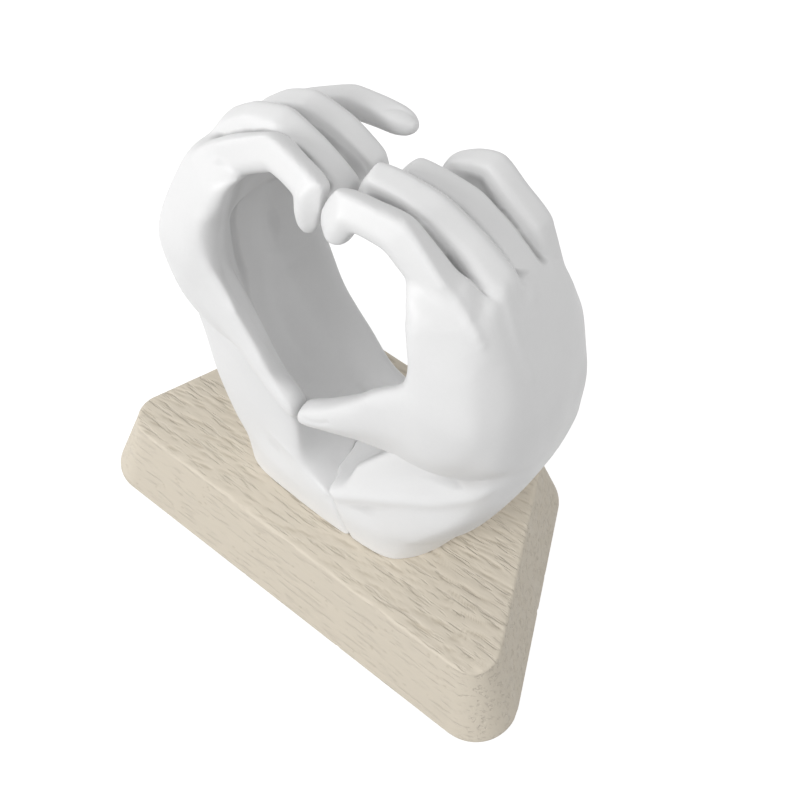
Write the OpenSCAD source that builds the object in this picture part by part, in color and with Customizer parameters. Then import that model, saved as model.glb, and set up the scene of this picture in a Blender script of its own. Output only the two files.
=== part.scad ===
// Pair of hands making a heart, standing on a flared plinth.
// Lengths are in millimetres. X runs along the plinth from the left hand to the right hand,
// Y runs from the front edge to the back, Z is up, and the origin is the middle of the
// underside that the ornament rests on.

/* [Plinth] */
// Length of the plinth's top at the front, between its sharp corners
plinth_front_w = 150; // [140:1:200]
// Length of the plinth's top at the back, between its sharp corners
plinth_back_w = 88; // [80:1:130]
// Depth of the plinth's top from front to back
plinth_d = 74; // [70:1:100]
// Height of the plinth
plinth_h = 32; // [28:1:50]
// How far the foot of the plinth stands out past its top, on every side
plinth_flare = 9.2; // [4:0.2:16]
// Corner radius at the top of the plinth
top_corner_r = 9; // [6:0.5:16]
// Corner radius at the foot of the plinth
foot_corner_r = 12; // [8:0.5:20]
// Size of the softened edges at the top and foot of the plinth
edge_soft = 1.2; // [0.6:0.1:2.4]

/* [Hands] */
// How far the back of each hand stands from the middle of the ornament
hand_reach = 58; // [54:1:72]
// Size of a hand from its thumb side to its little finger side
hand_depth = 66; // [60:1:80]
// Height from the plinth to the middle of the bent index fingers
hand_h = 130; // [110:1:180]
// Thickness of a finger at its middle joint
finger_d = 10; // [8:0.5:12]
// Gap between the two hands where their fingers, thumbs and wrists meet
seam_gap = 0.3; // [0.2:0.1:0.8]
// How far the front of the left wrist laps past the middle, at the plinth
seam_lap = 13; // [4:0.5:15]
// Height at which the lapped seam comes back to the middle
seam_h = 18; // [10:1:24]

/* [Fixings] */
// Thread diameter of the fixing screws
screw_d = 5; // [4:0.5:6]
// Length of the fixing screws under the head
screw_len = 30; // [27:1:31]
// Diameter of the screw heads
head_d = 8.5; // [7.5:0.5:10]
// Height of the screw heads
head_h = 5; // [3:0.5:6]
// Width across the flats of the hexagon socket in the screw heads
socket_af = 4; // [3:0.5:5]
// Outside diameter of the washers
washer_d = 12; // [11:0.5:14]
// Thickness of the washers
washer_t = 1.2; // [0.8:0.1:2]
// Outside diameter of the threaded inserts in the wrists
insert_d = 8; // [7.5:0.5:10]
// Length of the threaded inserts
insert_len = 13; // [12.5:0.5:14]
// Diameter of the locating dowels
dowel_d = 4; // [3:0.5:5]
// Length of the locating dowels
dowel_len = 16; // [12:1:20]
// Depth of the counterbores in the underside of the plinth
counterbore_depth = 14; // [12:0.5:16]
// Clearance round each screw, insert, dowel and washer
fit_clearance = 0.3; // [0.2:0.05:0.5]

/* [Base sheet] */
// Thickness of the non-slip sheet under the plinth
sheet_t = 1.5; // [1:0.25:3]
// How far the sheet stays inside the foot of the plinth
sheet_inset = 2.5; // [1.5:0.5:6]

/* [Hidden] */
// Smooth steps between two table points, round a limb and along it
around_steps = 2;
along_steps = 2;
// Sides of a finger
finger_sides = 14;
// Steps in a rounded corner of the plinth
corner_steps = 8;
$fn = 48;

plinth_top = sheet_t + plinth_h;
// Slope of the plinth's side edges in plan
side_slope = (plinth_front_w - plinth_back_w) / 2 / plinth_d;
// One overrun serves every cut
overrun = 1;

// Place of each screw and dowel, as shares of the hand's reach and depth
screw_place_shares = [0.34, 0.6];
dowel_place_shares = [0.38, 0.82];
// How hard the cross-section of a finger is squared off
finger_square_share = 0.78;

// Outline of the palm and wrist at eleven levels, as shares of reach, depth and height. Each
// level runs from the inner front corner round the back of the hand to the palm.
palm_shares = [
    [[-0.3, 0.21, 0], [0.24, 0.2, 0], [0.5, 0.25, 0], [0.62, 0.44, 0], [0.67, 0.7, 0],
        [0.64, 0.89, 0], [0.34, 0.94, 0], [-0.3, 0.92, 0], [-0.3, 0.7, 0], [-0.3, 0.45, 0]],
    [[-0.25, 0.24, 0.08], [0.24, 0.21, 0.08], [0.53, 0.26, 0.08], [0.71, 0.45, 0.08], [0.77, 0.68, 0.08],
        [0.74, 0.89, 0.08], [0.38, 0.95, 0.08], [-0.25, 0.92, 0.08], [-0.25, 0.7, 0.08], [-0.25, 0.45, 0.08]],
    [[0.02, 0.3, 0.15], [0.28, 0.24, 0.15], [0.6, 0.27, 0.15], [0.78, 0.45, 0.15], [0.84, 0.68, 0.15],
        [0.82, 0.89, 0.15], [0.47, 0.95, 0.15], [0.07, 0.91, 0.15], [0.09, 0.7, 0.15], [0.07, 0.48, 0.15]],
    [[0.21, 0.33, 0.25], [0.41, 0.26, 0.25], [0.71, 0.3, 0.25], [0.84, 0.47, 0.25], [0.9, 0.68, 0.25],
        [0.87, 0.89, 0.25], [0.59, 0.97, 0.25], [0.24, 0.91, 0.25], [0.28, 0.7, 0.25], [0.26, 0.5, 0.25]],
    [[0.38, 0.35, 0.35], [0.55, 0.3, 0.35], [0.81, 0.35, 0.35], [0.91, 0.48, 0.35], [0.95, 0.68, 0.35],
        [0.93, 0.89, 0.35], [0.69, 0.98, 0.35], [0.4, 0.91, 0.35], [0.45, 0.7, 0.35], [0.43, 0.52, 0.35]],
    [[0.48, 0.39, 0.46], [0.66, 0.33, 0.46], [0.91, 0.37, 0.46], [0.97, 0.52, 0.46], [0.98, 0.7, 0.46],
        [0.96, 0.89, 0.46], [0.76, 1, 0.46], [0.5, 0.91, 0.46], [0.59, 0.71, 0.46], [0.57, 0.55, 0.46]],
    [[0.52, 0.36, 0.6], [0.69, 0.29, 0.6], [0.94, 0.38, 0.6], [0.98, 0.52, 0.6], [0.99, 0.7, 0.6],
        [0.95, 0.9, 0.6], [0.78, 0.98, 0.6], [0.57, 0.91, 0.6], [0.67, 0.73, 0.6], [0.66, 0.56, 0.6]],
    [[0.52, 0.32, 0.71], [0.69, 0.27, 0.71], [0.87, 0.36, 0.71], [0.92, 0.52, 0.71], [0.93, 0.7, 0.71],
        [0.89, 0.89, 0.71], [0.74, 0.98, 0.71], [0.59, 0.91, 0.69], [0.66, 0.73, 0.7], [0.64, 0.53, 0.71]],
    [[0.47, 0.33, 0.8], [0.66, 0.31, 0.81], [0.78, 0.36, 0.81], [0.83, 0.5, 0.81], [0.83, 0.7, 0.8],
        [0.78, 0.88, 0.78], [0.67, 0.97, 0.75], [0.53, 0.91, 0.73], [0.57, 0.73, 0.75], [0.55, 0.52, 0.77]],
    [[0.44, 0.39, 0.86], [0.54, 0.38, 0.88], [0.66, 0.4, 0.88], [0.71, 0.5, 0.88], [0.71, 0.7, 0.87],
        [0.68, 0.86, 0.84], [0.59, 0.97, 0.8], [0.47, 0.92, 0.78], [0.48, 0.73, 0.81], [0.47, 0.52, 0.83]],
    [[0.46, 0.45, 0.87], [0.52, 0.45, 0.89], [0.59, 0.47, 0.9], [0.63, 0.52, 0.9], [0.63, 0.7, 0.88],
        [0.61, 0.83, 0.85], [0.55, 0.91, 0.82], [0.47, 0.88, 0.8], [0.48, 0.73, 0.82], [0.47, 0.55, 0.85]],
];
// Outline of the thumb and the ball of the thumb at eight places from its tip to the back of the
// hand, each from the upper edge over the front and the underside to the palm
thumb_shares = [
    [[0.01, 0.22, 0.49], [0.01, 0.19, 0.49], [0.01, 0.18, 0.477],
        [0.01, 0.2, 0.465], [0.01, 0.23, 0.47], [0.01, 0.24, 0.485]],
    [[0.03, 0.24, 0.515], [0.03, 0.17, 0.51], [0.03, 0.16, 0.477],
        [0.03, 0.2, 0.45], [0.03, 0.26, 0.46], [0.03, 0.27, 0.49]],
    [[0.14, 0.28, 0.565], [0.14, 0.19, 0.56], [0.14, 0.17, 0.51],
        [0.14, 0.23, 0.45], [0.14, 0.3, 0.47], [0.14, 0.32, 0.52]],
    [[0.28, 0.3, 0.63], [0.28, 0.2, 0.63], [0.28, 0.19, 0.545],
        [0.28, 0.26, 0.46], [0.28, 0.36, 0.48], [0.28, 0.38, 0.57]],
    [[0.41, 0.31, 0.71], [0.41, 0.21, 0.7], [0.41, 0.2, 0.59],
        [0.41, 0.29, 0.46], [0.41, 0.42, 0.485], [0.41, 0.42, 0.615]],
    [[0.53, 0.31, 0.78], [0.53, 0.22, 0.77], [0.53, 0.22, 0.63],
        [0.53, 0.31, 0.465], [0.53, 0.48, 0.49], [0.53, 0.47, 0.66]],
    [[0.69, 0.36, 0.8], [0.69, 0.28, 0.78], [0.69, 0.25, 0.65],
        [0.69, 0.34, 0.47], [0.69, 0.52, 0.49], [0.69, 0.52, 0.69]],
    [[0.83, 0.48, 0.74], [0.83, 0.43, 0.73], [0.83, 0.42, 0.64],
        [0.83, 0.45, 0.5], [0.83, 0.55, 0.52], [0.83, 0.55, 0.68]],
];
// Fingers from root to tip: place as shares of reach, depth and height, then half width and half
// thickness as shares of the finger's thickness
index_shares = [
    [0.76, 0.48, 0.745, 0.6, 0.5], [0.655, 0.47, 0.84, 0.74, 0.76], [0.5, 0.475, 0.92, 0.64, 0.66],
    [0.33, 0.475, 0.975, 0.5, 0.5], [0.225, 0.47, 0.996, 0.46, 0.45], [0.125, 0.47, 1, 0.44, 0.43],
    [0.07, 0.455, 0.977, 0.42, 0.38], [0.055, 0.43, 0.942, 0.38, 0.31], [0.052, 0.425, 0.92, 0.22, 0.18],
];
middle_shares = [
    [0.76, 0.635, 0.74, 0.5, 0.5], [0.655, 0.635, 0.835, 0.6, 0.72], [0.5, 0.635, 0.913, 0.55, 0.64],
    [0.33, 0.635, 0.965, 0.5, 0.5], [0.225, 0.63, 0.988, 0.47, 0.46], [0.125, 0.62, 0.994, 0.45, 0.43],
    [0.07, 0.605, 0.973, 0.43, 0.38], [0.055, 0.59, 0.937, 0.39, 0.31], [0.052, 0.58, 0.91, 0.22, 0.18],
];
ring_shares = [
    [0.74, 0.775, 0.723, 0.5, 0.5], [0.64, 0.78, 0.82, 0.58, 0.7], [0.49, 0.785, 0.888, 0.53, 0.62],
    [0.345, 0.785, 0.928, 0.49, 0.49], [0.225, 0.78, 0.945, 0.46, 0.45], [0.12, 0.77, 0.942, 0.44, 0.42],
    [0.065, 0.765, 0.92, 0.41, 0.39], [0.052, 0.76, 0.888, 0.37, 0.33], [0.048, 0.75, 0.865, 0.22, 0.2],
];
right_little_shares = [
    [0.705, 0.895, 0.71, 0.4, 0.4], [0.595, 0.91, 0.79, 0.48, 0.62], [0.465, 0.94, 0.862, 0.46, 0.52],
    [0.335, 0.96, 0.905, 0.42, 0.43], [0.24, 0.955, 0.915, 0.39, 0.39], [0.165, 0.945, 0.91, 0.37, 0.36],
    [0.11, 0.94, 0.88, 0.34, 0.33], [0.095, 0.93, 0.855, 0.18, 0.18],
];
left_little_shares = [
    [0.705, 0.895, 0.71, 0.4, 0.4], [0.595, 0.91, 0.79, 0.48, 0.6], [0.475, 0.945, 0.865, 0.46, 0.5],
    [0.355, 0.985, 0.898, 0.42, 0.42], [0.225, 1.01, 0.898, 0.39, 0.38], [0.12, 1.02, 0.892, 0.36, 0.34],
    [0.07, 1.03, 0.888, 0.3, 0.28], [0.048, 1.035, 0.886, 0.16, 0.16],
];
// Front part of the seam between the wrists in plan: across as shares of the lap, then shares of depth
seam_shares = [[1, 0.15], [1, 0.2], [0.3, 0.36], [0, 0.5]];

screw_place = [screw_place_shares[0] * hand_reach, screw_place_shares[1] * hand_depth - plinth_d / 2];
dowel_place = [dowel_place_shares[0] * hand_reach, dowel_place_shares[1] * hand_depth - plinth_d / 2];
// Ceiling of a counterbore, where its washer seats
washer_seat = sheet_t + counterbore_depth;

// Point at share t between b and c on a smooth curve through a, b, c and d
function curve_point(a, b, c, d, t) =
    (2 * b + (c - a) * t + (2 * a - 5 * b + 4 * c - d) * t ^ 2 + (3 * b - a - 3 * c + d) * t ^ 3) / 2;

// Closed smooth outline through the points p
function smooth_ring(p) =
    let (n = len(p))
    [for (i = [0:n - 1], j = [0:around_steps - 1])
        curve_point(p[(i + n - 1) % n], p[i], p[(i + 1) % n], p[(i + 2) % n], j / around_steps)];

// Smooth run through the rows r, where a row is a table row or a whole ring of points
function smooth_run(r) =
    let (n = len(r))
    [for (i = [0:n - 2], j = [0:along_steps - 1])
        curve_point(r[max(i - 1, 0)], r[i], r[i + 1], r[min(i + 2, n - 1)], j / along_steps),
        r[n - 1]];

function middle_of(ring) = [for (k = [0:2]) [for (p = ring) p[k]] * [for (p = ring) 1 / len(ring)]];

function unit(v) = v / norm(v);

// Place of a table row in the hand
function hand_place(p) = [p[0] * hand_reach, p[1] * hand_depth - plinth_d / 2, p[2] * hand_h + plinth_top];

// Closed skin over a run of rings with equal numbers of points
module skin(rings) {
    n = len(rings[0]);
    m = len(rings);
    points = concat([for (ring = rings, p = ring) p], [middle_of(rings[0]), middle_of(rings[m - 1])]);
    sides = [for (i = [0:m - 2], j = [0:n - 1])
        each [
            [i * n + j, i * n + (j + 1) % n, (i + 1) * n + (j + 1) % n],
            [i * n + j, (i + 1) * n + (j + 1) % n, (i + 1) * n + j],
        ]];
    first_end = [for (j = [0:n - 1]) [m * n, (j + 1) % n, j]];
    last_end = [for (j = [0:n - 1]) [m * n + 1, (m - 1) * n + j, (m - 1) * n + (j + 1) % n]];
    polyhedron(points, [for (f = concat(sides, first_end, last_end)) [f[2], f[1], f[0]]]);
}

// Skin through a table of outlines
module outline_skin(table) {
    skin(smooth_run([for (level = table) smooth_ring([for (p = level) hand_place(p)])]));
}

// Squared-off round, for a finger's cross-section
function squared(v) = sign(v) * abs(v) ^ finger_square_share;

// Finger along a table of places and half sizes
module finger(table) {
    rows = smooth_run(table);
    n = len(rows);
    spine = [for (r = rows) hand_place(r)];
    skin([for (i = [0:n - 1])
        let (
            along = unit(spine[min(i + 1, n - 1)] - spine[max(i - 1, 0)]),
            side = unit([0, 1, 0] - along * along[1]),
            up = cross(along, side)
        )
        [for (j = [0:finger_sides - 1])
            spine[i] + side * squared(cos(360 * j / finger_sides)) * rows[i][3] * finger_d
                + up * squared(sin(360 * j / finger_sides)) * rows[i][4] * finger_d]]);
}

// Everything past the seam, seen from the right hand, shifted by the given amount
module past_seam(shift) {
    far = hand_reach + finger_d;
    back = hand_depth - plinth_d / 2 + finger_d;
    front = -plinth_d / 2 - finger_d;
    function seam_line(lap) = [for (s = seam_shares) [s[0] * lap + shift, s[1] * hand_depth - plinth_d / 2]];
    function region(lap, z) = [for (p = concat([[-far, front], [seam_line(lap)[0][0], front]],
        seam_line(lap), [[shift, back], [-far, back]])) [p[0], p[1], z]];
    skin([
        region(seam_lap, plinth_top - overrun),
        region(seam_lap, plinth_top),
        region(0, plinth_top + seam_h),
        region(0, plinth_top + hand_h + finger_d),
    ]);
}

// Hand without its seam, on the right
module hand_form(little_shares) {
    outline_skin(palm_shares);
    outline_skin(thumb_shares);
    finger(index_shares);
    finger(middle_shares);
    finger(ring_shares);
    finger(little_shares);
}

// Bores in a wrist for the threaded insert and the dowel
module wrist_bores() {
    translate([screw_place[0], screw_place[1], plinth_top - overrun])
        cylinder(d = insert_d + 2 * fit_clearance, h = insert_len + 2 * fit_clearance + overrun);
    translate([dowel_place[0], dowel_place[1], plinth_top - overrun])
        cylinder(d = dowel_d + 2 * fit_clearance, h = dowel_len / 2 + fit_clearance + overrun);
}

module left_hand() {
    color("white")
        difference() {
            mirror([1, 0, 0]) hand_form(left_little_shares);
            difference() {
                translate([-hand_reach, -plinth_d / 2 - finger_d, plinth_top - overrun])
                    cube([3 * hand_reach, hand_depth + 3 * finger_d, hand_h + 2 * finger_d]);
                past_seam(-seam_gap / 2);
            }
            mirror([1, 0, 0]) wrist_bores();
        }
}

module right_hand() {
    color("white")
        difference() {
            hand_form(right_little_shares);
            past_seam(seam_gap / 2);
            wrist_bores();
        }
}

// Half width of the plinth at depth y, with its outline moved out by the given amount
function half_width(y, out) =
    plinth_front_w / 2 - (y + plinth_d / 2) * side_slope + out * sqrt(1 + side_slope ^ 2);

function plinth_corners(out) =
    let (front = -plinth_d / 2 - out, back = plinth_d / 2 + out)
    [
        [-half_width(front, out), front],
        [half_width(front, out), front],
        [half_width(back, out), back],
        [-half_width(back, out), back],
    ];

// Arc of radius r that rounds the corner b between its neighbours a and c
function corner_arc(a, b, c, r) =
    let (
        to_a = unit(a - b),
        to_c = unit(c - b),
        half = acos(to_a * to_c) / 2,
        centre = b + unit(to_a + to_c) * r / sin(half),
        first = b + to_a * r / tan(half) - centre,
        last = b + to_c * r / tan(half) - centre,
        start = atan2(first[1], first[0]),
        turn = (atan2(last[1], last[0]) - start + 540) % 360 - 180
    )
    [for (i = [0:corner_steps])
        centre + r * [cos(start + turn * i / corner_steps), sin(start + turn * i / corner_steps)]];

function plinth_outline(out, r) =
    let (p = plinth_corners(out))
    [for (i = [0:3]) each corner_arc(p[(i + 3) % 4], p[i], p[(i + 1) % 4], r)];

function plinth_ring(out, r, z) = [for (p = plinth_outline(out, r)) [p[0], p[1], z]];

module plinth() {
    // Share of the softened edge that its middle point keeps
    arc_share = 0.3;
    color("wheat")
        difference() {
            skin([
                plinth_ring(plinth_flare - edge_soft, foot_corner_r - edge_soft, sheet_t),
                plinth_ring(plinth_flare - arc_share * edge_soft, foot_corner_r - arc_share * edge_soft,
                    sheet_t + arc_share * edge_soft),
                plinth_ring(plinth_flare, foot_corner_r, sheet_t + edge_soft),
                plinth_ring(0, top_corner_r, plinth_top - edge_soft),
                plinth_ring(-arc_share * edge_soft, top_corner_r - arc_share * edge_soft,
                    plinth_top - arc_share * edge_soft),
                plinth_ring(-edge_soft, top_corner_r - edge_soft, plinth_top),
            ]);
            for (side = [-1, 1]) {
                translate([side * screw_place[0], screw_place[1], sheet_t - overrun])
                    cylinder(d = washer_d + 2 * fit_clearance, h = counterbore_depth + overrun);
                translate([side * screw_place[0], screw_place[1], sheet_t])
                    cylinder(d = screw_d + 2 * fit_clearance, h = plinth_h + overrun);
                translate([side * dowel_place[0], dowel_place[1], plinth_top - dowel_len / 2 - fit_clearance])
                    cylinder(d = dowel_d + 2 * fit_clearance, h = dowel_len / 2 + fit_clearance + overrun);
            }
        }
}

module threaded_insert(side) {
    color("goldenrod")
        translate([side * screw_place[0], screw_place[1], plinth_top])
            difference() {
                cylinder(d = insert_d, h = insert_len);
                translate([0, 0, -overrun])
                    cylinder(d = screw_d + 2 * fit_clearance, h = insert_len + 2 * overrun);
            }
}

module fixing_screw(side) {
    color("silver")
        translate([side * screw_place[0], screw_place[1], washer_seat - washer_t])
            difference() {
                union() {
                    cylinder(d = screw_d, h = screw_len);
                    translate([0, 0, -head_h])
                        cylinder(d = head_d, h = head_h);
                }
                translate([0, 0, -head_h - overrun])
                    cylinder(d = socket_af / cos(30), h = head_h / 2 + overrun, $fn = 6);
            }
}

module washer(side) {
    color("gainsboro")
        translate([side * screw_place[0], screw_place[1], washer_seat - washer_t])
            difference() {
                cylinder(d = washer_d, h = washer_t);
                translate([0, 0, -overrun])
                    cylinder(d = screw_d + 2 * fit_clearance, h = washer_t + 2 * overrun);
            }
}

module locating_dowel(side) {
    color("silver")
        translate([side * dowel_place[0], dowel_place[1], plinth_top - dowel_len / 2])
            cylinder(d = dowel_d, h = dowel_len);
}

module base_sheet() {
    inset = edge_soft + sheet_inset;
    color("dimgray")
        linear_extrude(sheet_t)
            polygon(plinth_outline(plinth_flare - inset, foot_corner_r - inset));
}

left_hand();
right_hand();
plinth();
threaded_insert(-1);  // left_threaded_insert
threaded_insert(1);  // right_threaded_insert
fixing_screw(-1);  // left_fixing_screw
fixing_screw(1);  // right_fixing_screw
washer(-1);  // left_washer
washer(1);  // right_washer
locating_dowel(-1);  // left_locating_dowel
locating_dowel(1);  // right_locating_dowel
base_sheet();
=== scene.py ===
"""Pair of hands making a heart on a carved plinth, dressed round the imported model."""

import math

import bmesh
import bpy
import numpy as np
from bpy.props import FloatProperty, FloatVectorProperty, IntProperty, PointerProperty
from mathutils import Matrix, Vector


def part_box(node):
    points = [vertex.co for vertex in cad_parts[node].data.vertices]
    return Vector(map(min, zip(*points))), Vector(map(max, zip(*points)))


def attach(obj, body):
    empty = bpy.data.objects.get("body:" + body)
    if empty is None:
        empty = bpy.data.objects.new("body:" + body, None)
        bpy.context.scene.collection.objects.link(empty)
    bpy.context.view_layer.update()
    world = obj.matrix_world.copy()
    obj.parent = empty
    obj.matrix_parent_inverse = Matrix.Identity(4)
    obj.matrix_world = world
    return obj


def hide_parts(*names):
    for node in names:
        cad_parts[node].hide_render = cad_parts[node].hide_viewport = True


bl_info = {
    "name": "Heart hands ornament",
    "version": (1, 0, 0),
    "blender": (4, 5, 0),
    "location": "3D View > Sidebar > Ornament",
    "description": "Builds two cast hands that make a heart, on a carved plinth",
    "category": "Object",
}

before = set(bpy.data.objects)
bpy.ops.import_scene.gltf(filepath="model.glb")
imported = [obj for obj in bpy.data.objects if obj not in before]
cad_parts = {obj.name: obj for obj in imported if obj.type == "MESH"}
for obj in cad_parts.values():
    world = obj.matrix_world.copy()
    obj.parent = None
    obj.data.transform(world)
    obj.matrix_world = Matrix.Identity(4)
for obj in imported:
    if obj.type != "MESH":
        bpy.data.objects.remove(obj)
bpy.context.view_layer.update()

MM = 0.001
BODY = "root"

RIGHT_LOW, RIGHT_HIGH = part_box("right_hand")
PLINTH_LOW, PLINTH_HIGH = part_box("plinth")
SHEET_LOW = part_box("base_sheet")[0]

# The tables below are drawn in millimetres for a right hand that reaches DRAWN_REACH from the
# mirror plane, is DRAWN_DEPTH from front to back and DRAWN_HEIGHT high. Their origin is on the
# mirror plane, DRAWN_FRONT in front of the hand and on the plinth's top.
DRAWN_REACH = 57.5
DRAWN_DEPTH = 57.2
DRAWN_HEIGHT = 134.4
DRAWN_FRONT = 10.4

UNIT = np.array([
    RIGHT_HIGH.x / DRAWN_REACH,
    (RIGHT_HIGH.y - RIGHT_LOW.y) / DRAWN_DEPTH,
    (RIGHT_HIGH.z - PLINTH_HIGH.z) / DRAWN_HEIGHT,
])
ORIGIN = np.array([0, RIGHT_LOW.y - DRAWN_FRONT * UNIT[1], PLINTH_HIGH.z])


def placed(points, scale=UNIT, origin=ORIGIN):
    """Drawn millimetres to metres in the frame."""
    return np.asarray(points, float) * scale + origin


def drawn(points, scale=UNIT, origin=ORIGIN):
    """Metres in the frame to drawn millimetres."""
    return (np.asarray(points, float) - origin) / scale


# Outline of the palm and wrist from the plinth to the knuckles, each level from the inner front
# corner round the back of the hand to the palm
PALM = [
    [(-17.4, 13.9, -1), (13.9, 13.2, -1), (28, 15.5, -1), (36.5, 27, -1), (39, 46.2, -1),
     (37.1, 58.7, -1), (19.7, 62, -1), (-17.4, 60.7, -1), (-17.4, 46.2, -1), (-17.4, 29.7, -1)],
    [(-14.5, 15.8, 10.4), (13.9, 13.9, 10.4), (30.7, 17.2, 10.4), (41, 29, 10.4), (44.7, 44.9, 10.4),
     (42.9, 58.7, 10.4), (22, 62.7, 10.4), (-14.5, 60.7, 10.4), (-14.5, 46.2, 10.4), (-14.5, 29.7, 10.4)],
    [(6, 17, 19.5), (17.5, 16.4, 19.5), (34.8, 17.8, 19.5), (45.2, 29.7, 19.5), (48.7, 44.9, 19.5),
     (47.6, 58.7, 19.5), (27.3, 62.7, 19.5), (4, 60, 19.5), (5.2, 46.2, 19.5), (5, 30, 19.5)],
    [(11, 20.6, 32.5), (24.5, 18.4, 32.5), (42, 20.5, 32.5), (49.3, 31, 32.5), (52.2, 44.9, 32.5),
     (50.5, 58.7, 32.5), (34.2, 64, 32.5), (13.9, 60, 32.5), (16.2, 46.2, 32.5), (15, 33, 32.5)],
    [(18.5, 23, 45.5), (31.9, 21, 45.5), (47, 23.5, 45.5), (53.2, 32, 45.5), (55, 44.9, 45.5),
     (54, 58.7, 45.5), (40, 64.7, 45.5), (23.2, 60, 45.5), (26, 46.2, 45.5), (25, 34.3, 45.5)],
    [(26, 23.5, 59), (38.3, 23.5, 59), (50, 24.5, 59), (56, 34, 59), (56.8, 46.2, 59),
     (55.7, 58.7, 59), (43, 65.5, 59), (28, 60, 59), (33, 46.9, 59), (31.5, 36.3, 59)],
    [(26, 19, 64), (38.5, 18.8, 65), (50.5, 25, 67), (56.6, 34, 66), (57.2, 46.2, 66),
     (55.7, 59, 66), (44, 65.3, 66), (30, 60, 66), (35.5, 47.2, 66), (34, 36.6, 66)],
    [(27.5, 17.5, 78), (39.5, 15.6, 78), (51.8, 21.8, 78), (56.6, 31, 78), (57.4, 46.2, 78),
     (55, 59.4, 78), (45.2, 64.7, 78), (33, 60, 78), (38.9, 48.2, 78), (36.5, 34, 78)],
    [(27.8, 20.4, 92.3), (34.5, 15.2, 92.3), (48.8, 19.2, 92.3), (54.3, 30, 92.3), (54.4, 46.2, 92.3),
     (51.8, 58.9, 92.3), (46, 64.5, 92.3), (34.2, 60, 89.7), (38.3, 48.2, 91), (36, 33, 92.3)],
    [(28.2, 23.4, 103), (32, 17.8, 104), (44.6, 22.6, 105.3), (49, 31, 105.3), (48.6, 46.2, 104),
     (48.2, 58.5, 101.4), (43.8, 63.2, 99.5), (30.7, 60, 94.9), (34.5, 48.2, 97.5), (34, 33, 100)],
    [(26.5, 24, 111.5), (30, 20.6, 112.5), (40.6, 26, 114), (44.3, 32.5, 113.5), (43.8, 46.2, 112),
     (43.8, 57.8, 108), (41, 62, 106.5), (28.3, 59, 101), (32, 48.2, 105.3), (31, 33.3, 108.5)],
    [(24.2, 24.8, 118.5), (28.3, 23.4, 119), (37.4, 28, 118.3), (40.6, 33.5, 117.3), (40, 46.2, 115.3),
     (40.4, 57, 111.5), (37.5, 61.2, 110.5), (27.5, 57.5, 104.3), (30, 48.2, 109.5), (28.6, 34.3, 114)],
    [(22.8, 27.2, 120.6), (26.2, 27.4, 121.4), (31.8, 30.5, 119.8), (34, 34.5, 119), (34.5, 46.2, 115.2),
     (34, 55.5, 114.5), (31.5, 59, 113), (27, 55.5, 107.5), (28, 47.5, 111.5), (26, 35.2, 116)],
]

# Outline of the thumb at six places from the tip to its root in the palm, each from the upper
# edge over the front and the underside to the palm
THUMB = [
    [(0.4, 14.5, 63.7), (0.4, 12.5, 63.7), (0.4, 11.9, 62), (0.4, 13.2, 60.5), (0.4, 15.2, 61.1),
     (0.4, 15.8, 63)],
    [(1.7, 15.8, 67.4), (1.7, 11.5, 66.6), (1.7, 10.8, 62.3), (1.7, 13.2, 58.3), (1.7, 16.8, 59.5),
     (1.7, 17.4, 64)],
    [(8.1, 17.6, 72.6), (8.1, 12.7, 72), (8.1, 11.4, 66), (8.1, 15.2, 58.3), (8.1, 18.6, 60.8),
     (8.1, 19.3, 67)],
    [(16.2, 19.2, 81), (16.2, 14.3, 80.6), (16.2, 13, 70.5), (16.2, 17.2, 59.6), (16.2, 20.6, 62.4),
     (16.2, 21.8, 74)],
    [(23.8, 20.4, 91), (23.8, 16, 90.6), (23.8, 14.5, 76.5), (23.8, 18.6, 60.3), (23.8, 23.3, 63),
     (23.8, 24, 80)],
    [(33, 20.5, 100), (33, 17, 99), (33, 15.4, 80), (33, 20, 63), (33, 26, 66), (33, 27, 86)],
]

# Outlines across a finger, as shares of its half width and half thickness, from the inner edge of
# its back to its inner side. The index finger's back is a ridge, the others' backs are flat.
RIDGED = [(-0.05, 1.06), (0.5, 0.82), (0.92, 0.36), (0.98, -0.25), (0.65, -0.85), (0, -1),
          (-0.6, -0.85), (-0.93, -0.35), (-0.88, 0.12), (-0.47, 0.6)]
FLAT = [(-0.62, 0.94), (0.55, 0.98), (0.95, 0.45), (0.98, -0.25), (0.65, -0.85), (0, -1),
        (-0.65, -0.85), (-0.98, -0.25), (-0.95, 0.35), (-0.82, 0.7)]

# Fingers from the palm to the tip: the middle of each place, then half width, half thickness, and
# how far the back turns to the front, in degrees
RIGHT_INDEX = [
    (43.5, 32, 91, 4.6, 4.6, 20), (40.6, 31.8, 102.5, 5.0, 5.0, 26), (36.3, 31.2, 113.6, 5.5, 5.2, 28),
    (28.4, 31.2, 120.7, 5.0, 4.9, 26), (18, 31.9, 128, 4.7, 4.6, 8), (11.6, 31, 128.9, 4.3, 4.3, 8),
    (5.8, 30.2, 129, 4.3, 4.2, 6), (4.4, 28.6, 125, 4.1, 4.3, 4), (3.9, 27.8, 122, 3.4, 3.6, 0),
    (3.7, 27.5, 120.3, 1.8, 1.8, 0),
]
RIGHT_MIDDLE = [
    (43, 41.3, 92, 4.4, 4.4, 5), (40.6, 41.3, 103, 4.7, 4.7, 6), (36.6, 41.4, 115.6, 5.0, 5.2, 6),
    (28.6, 41.7, 122.2, 4.5, 4.6, 8), (19.8, 41.6, 126.3, 4.5, 4.5, 8), (13, 41.5, 127.2, 4.2, 4.3, 6),
    (6.8, 41, 127.2, 4.2, 4.2, 4), (5.2, 40, 122.5, 4.0, 4.0, 3), (4.7, 39.4, 118.6, 3.2, 3.2, 0),
    (4.5, 39.2, 116.8, 1.6, 1.6, 0),
]
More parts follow.
